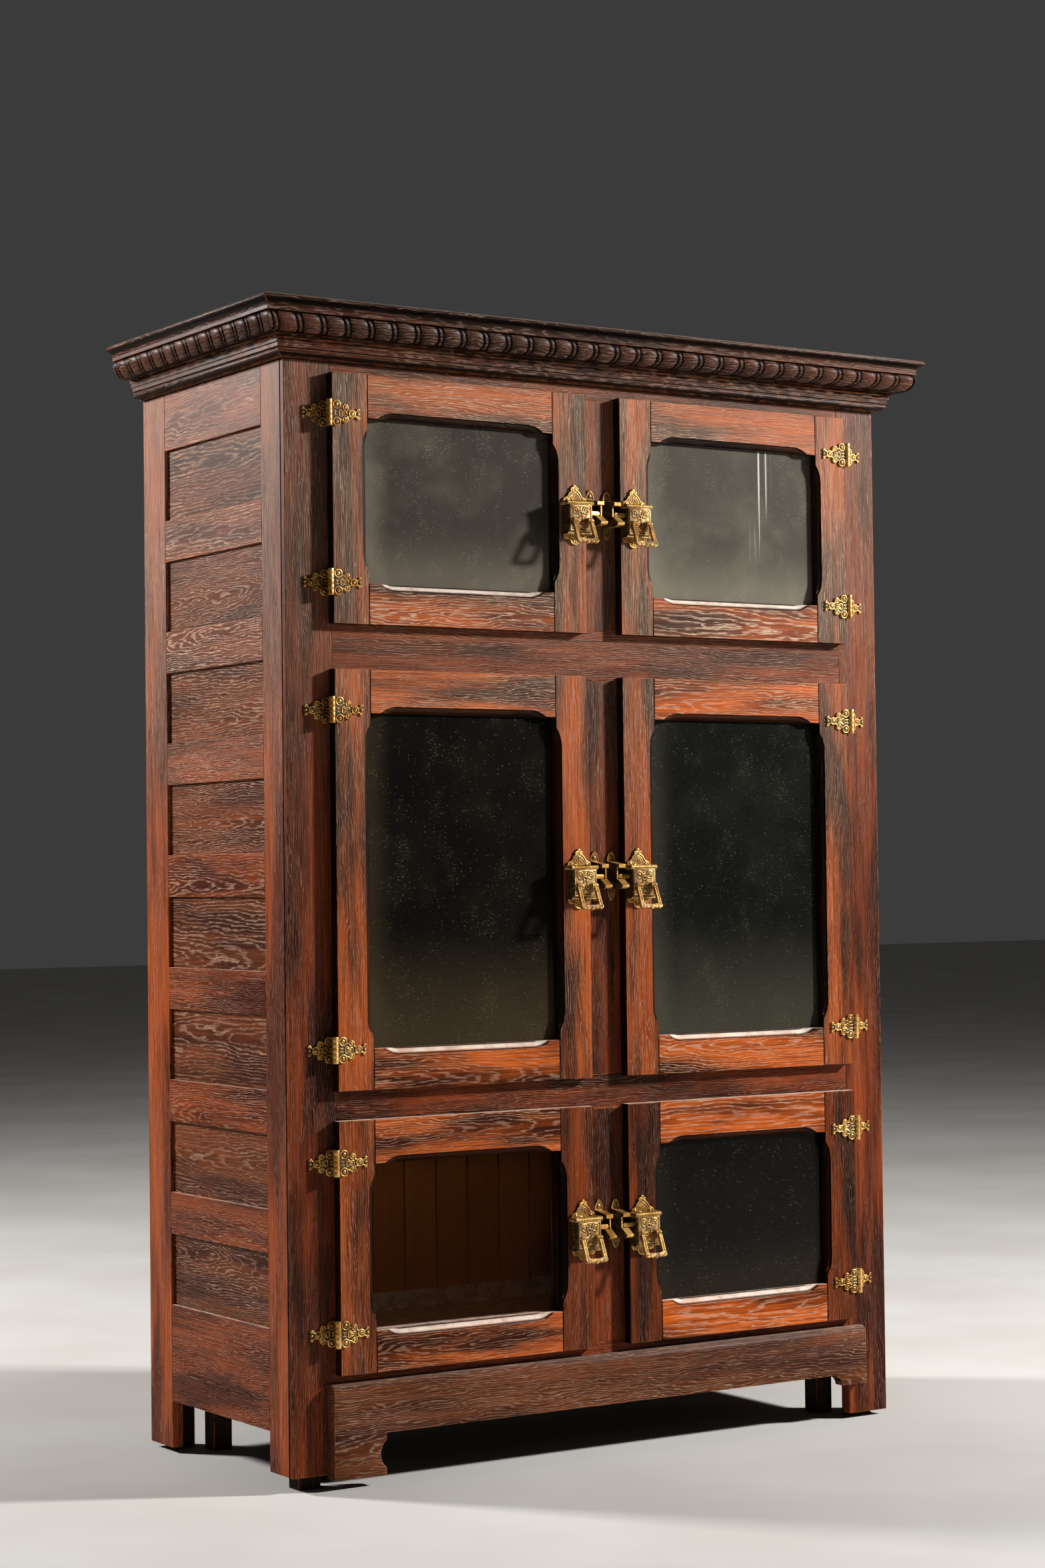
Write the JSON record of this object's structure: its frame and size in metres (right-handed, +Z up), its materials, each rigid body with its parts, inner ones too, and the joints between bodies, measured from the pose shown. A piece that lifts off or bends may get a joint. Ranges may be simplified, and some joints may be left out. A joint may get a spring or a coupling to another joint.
{
  "type": "icebox",
  "caption": "Tall oak icebox with glazed overlay doors on brass hinges, drop-bail lever latches, panelled sides, carved cornice and zinc-lined cold chambers.",
  "frame": {"origin": "on the floor under the middle of the outline", "axes": "+Z up, the doors face -Y, +X to the right of a person who faces the doors"},
  "size_m": [1.484, 0.639, 2.084],
  "materials": {
    "case_oak": "dark stained oak with pale limed pores",
    "panel_oak": "dark stained oak with pale limed pores",
    "frame_oak": "dark stained oak",
    "rough_boards": "unfinished softwood",
    "cornice_oak": "darkened carved oak",
    "skirt_oak": "dark stained oak",
    "dark_legs": "blackened wood",
    "insulation": "packed fibre",
    "lining_wood": "varnished matchboard",
    "zinc": "dull mottled zinc",
    "slat_wood": "scrubbed slats",
    "lead_pipe": "dull lead",
    "aged_brass": "cast brass with dark recesses",
    "hinge_pin_brass": "worn brass",
    "bolt_brass": "rubbed brass",
    "door_oak": "dark stained oak with pale limed pores",
    "door_glass": "hazy old sheet glass"
  },
  "bodies": {
    "cabinet": {"left_side_frame": "case_oak", "right_side_frame": "case_oak", "side_panels": "panel_oak", "face_frame": "frame_oak", "back_boards": "rough_boards", "top_boards": "rough_boards", "bottom_boards": "rough_boards", "cornice": "cornice_oak", "base_skirt": "skirt_oak", "support_legs": "dark_legs", "insulation": "insulation", "inner_lining": "lining_wood", "floor_pan": "zinc", "ice_deck": "lining_wood", "ice_pan": "zinc", "ice_rack": "slat_wood", "drain_pipe": "lead_pipe", "shelves": "slat_wood", "frame_hinge_leaves": "aged_brass", "hinge_pins": "hinge_pin_brass", "strikes": "aged_brass"},
    "upper_left_door_leaf": {"upper_left_door": "door_oak", "upper_left_glass": "door_glass", "upper_left_hinge_leaves": "aged_brass", "upper_left_latch_case": "aged_brass"},
    "upper_left_bail_ring": {"upper_left_bail": "aged_brass"},
    "upper_left_bolt_bar": {"upper_left_bolt": "bolt_brass"},
    "upper_right_door_leaf": {"upper_right_door": "door_oak", "upper_right_glass": "door_glass", "upper_right_hinge_leaves": "aged_brass", "upper_right_latch_case": "aged_brass"},
    "upper_right_bail_ring": {"upper_right_bail": "aged_brass"},
    "upper_right_bolt_bar": {"upper_right_bolt": "bolt_brass"},
    "middle_left_door_leaf": {"middle_left_door": "door_oak", "middle_left_glass": "door_glass", "middle_left_hinge_leaves": "aged_brass", "middle_left_latch_case": "aged_brass"},
    "middle_left_bail_ring": {"middle_left_bail": "aged_brass"},
    "middle_left_bolt_bar": {"middle_left_bolt": "bolt_brass"},
    "middle_right_door_leaf": {"middle_right_door": "door_oak", "middle_right_glass": "door_glass", "middle_right_hinge_leaves": "aged_brass", "middle_right_latch_case": "aged_brass"},
    "middle_right_bail_ring": {"middle_right_bail": "aged_brass"},
    "middle_right_bolt_bar": {"middle_right_bolt": "bolt_brass"},
    "lower_left_door_leaf": {"lower_left_door": "door_oak", "lower_left_glass": "door_glass", "lower_left_hinge_leaves": "aged_brass", "lower_left_latch_case": "aged_brass"},
    "lower_left_bail_ring": {"lower_left_bail": "aged_brass"},
    "lower_left_bolt_bar": {"lower_left_bolt": "bolt_brass"},
    "lower_right_door_leaf": {"lower_right_door": "door_oak", "lower_right_glass": "door_glass", "lower_right_hinge_leaves": "aged_brass", "lower_right_latch_case": "aged_brass"},
    "lower_right_bail_ring": {"lower_right_bail": "aged_brass"},
    "lower_right_bolt_bar": {"lower_right_bolt": "bolt_brass"}
  },
  "joints": [
    {"name": "upper_left_door_swing", "type": "hinge", "parent": "cabinet", "child": "upper_left_door_leaf", "pos_m": [-0.5849, -0.26325, 1.743], "axis": [0, 0, -1], "range_deg": [0, 165]},
    {"name": "upper_left_bail_lift", "type": "hinge", "parent": "upper_left_door_leaf", "child": "upper_left_bail_ring", "pos_m": [-0.0665, -0.291, 1.727], "axis": [-1, 0, 0], "range_deg": [-18, 40]},
    {"name": "upper_left_bolt_rise", "type": "hinge", "parent": "upper_left_door_leaf", "child": "upper_left_bolt_bar", "pos_m": [-0.0815, -0.2715, 1.743], "axis": [0, -1, 0], "range_deg": [-3.6, 8]},
    {"name": "upper_right_door_swing", "type": "hinge", "parent": "cabinet", "child": "upper_right_door_leaf", "pos_m": [0.5849, -0.26325, 1.743], "axis": [0, 0, 1], "range_deg": [0, 165]},
    {"name": "upper_right_bail_lift", "type": "hinge", "parent": "upper_right_door_leaf", "child": "upper_right_bail_ring", "pos_m": [0.0665, -0.291, 1.727], "axis": [-1, 0, 0], "range_deg": [-18, 40]},
    {"name": "upper_right_bolt_rise", "type": "hinge", "parent": "upper_right_door_leaf", "child": "upper_right_bolt_bar", "pos_m": [0.0815, -0.2715, 1.743], "axis": [0, 1, 0], "range_deg": [-3.6, 8]},
    {"name": "middle_left_door_swing", "type": "hinge", "parent": "cabinet", "child": "middle_left_door_leaf", "pos_m": [-0.5849, -0.26325, 1.0675], "axis": [0, 0, -1], "range_deg": [0, 165]},
    {"name": "middle_left_bail_lift", "type": "hinge", "parent": "middle_left_door_leaf", "child": "middle_left_bail_ring", "pos_m": [-0.0665, -0.291, 1.0515], "axis": [-1, 0, 0], "range_deg": [-18, 40]},
    {"name": "middle_left_bolt_rise", "type": "hinge", "parent": "middle_left_door_leaf", "child": "middle_left_bolt_bar", "pos_m": [-0.0815, -0.2715, 1.0675], "axis": [0, -1, 0], "range_deg": [-3.6, 8]},
    {"name": "middle_right_door_swing", "type": "hinge", "parent": "cabinet", "child": "middle_right_door_leaf", "pos_m": [0.5849, -0.26325, 1.0675], "axis": [0, 0, 1], "range_deg": [0, 165]},
    {"name": "middle_right_bail_lift", "type": "hinge", "parent": "middle_right_door_leaf", "child": "middle_right_bail_ring", "pos_m": [0.0665, -0.291, 1.0515], "axis": [-1, 0, 0], "range_deg": [-18, 40]},
    {"name": "middle_right_bolt_rise", "type": "hinge", "parent": "middle_right_door_leaf", "child": "middle_right_bolt_bar", "pos_m": [0.0815, -0.2715, 1.0675], "axis": [0, 1, 0], "range_deg": [-3.6, 8]},
    {"name": "lower_left_door_swing", "type": "hinge", "parent": "cabinet", "child": "lower_left_door_leaf", "pos_m": [-0.5849, -0.26325, 0.4205], "axis": [0, 0, -1], "range_deg": [0, 165]},
    {"name": "lower_left_bail_lift", "type": "hinge", "parent": "lower_left_door_leaf", "child": "lower_left_bail_ring", "pos_m": [-0.0665, -0.291, 0.4045], "axis": [-1, 0, 0], "range_deg": [-18, 40]},
    {"name": "lower_left_bolt_rise", "type": "hinge", "parent": "lower_left_door_leaf", "child": "lower_left_bolt_bar", "pos_m": [-0.0815, -0.2715, 0.4205], "axis": [0, -1, 0], "range_deg": [-3.6, 8]},
    {"name": "lower_right_door_swing", "type": "hinge", "parent": "cabinet", "child": "lower_right_door_leaf", "pos_m": [0.5849, -0.26325, 0.4205], "axis": [0, 0, 1], "range_deg": [0, 165]},
    {"name": "lower_right_bail_lift", "type": "hinge", "parent": "lower_right_door_leaf", "child": "lower_right_bail_ring", "pos_m": [0.0665, -0.291, 0.4045], "axis": [-1, 0, 0], "range_deg": [-18, 40]},
    {"name": "lower_right_bolt_rise", "type": "hinge", "parent": "lower_right_door_leaf", "child": "lower_right_bolt_bar", "pos_m": [0.0815, -0.2715, 0.4205], "axis": [0, 1, 0], "range_deg": [-3.6, 8]}
  ],
  "couplings": [
    {"joint": "upper_left_bolt_rise", "follows": "upper_left_bail_lift", "ratio": 0.2},
    {"joint": "upper_right_bolt_rise", "follows": "upper_right_bail_lift", "ratio": 0.2},
    {"joint": "middle_left_bolt_rise", "follows": "middle_left_bail_lift", "ratio": 0.2},
    {"joint": "middle_right_bolt_rise", "follows": "middle_right_bail_lift", "ratio": 0.2},
    {"joint": "lower_left_bolt_rise", "follows": "lower_left_bail_lift", "ratio": 0.2},
    {"joint": "lower_right_bolt_rise", "follows": "lower_right_bail_lift", "ratio": 0.2}
  ]
}
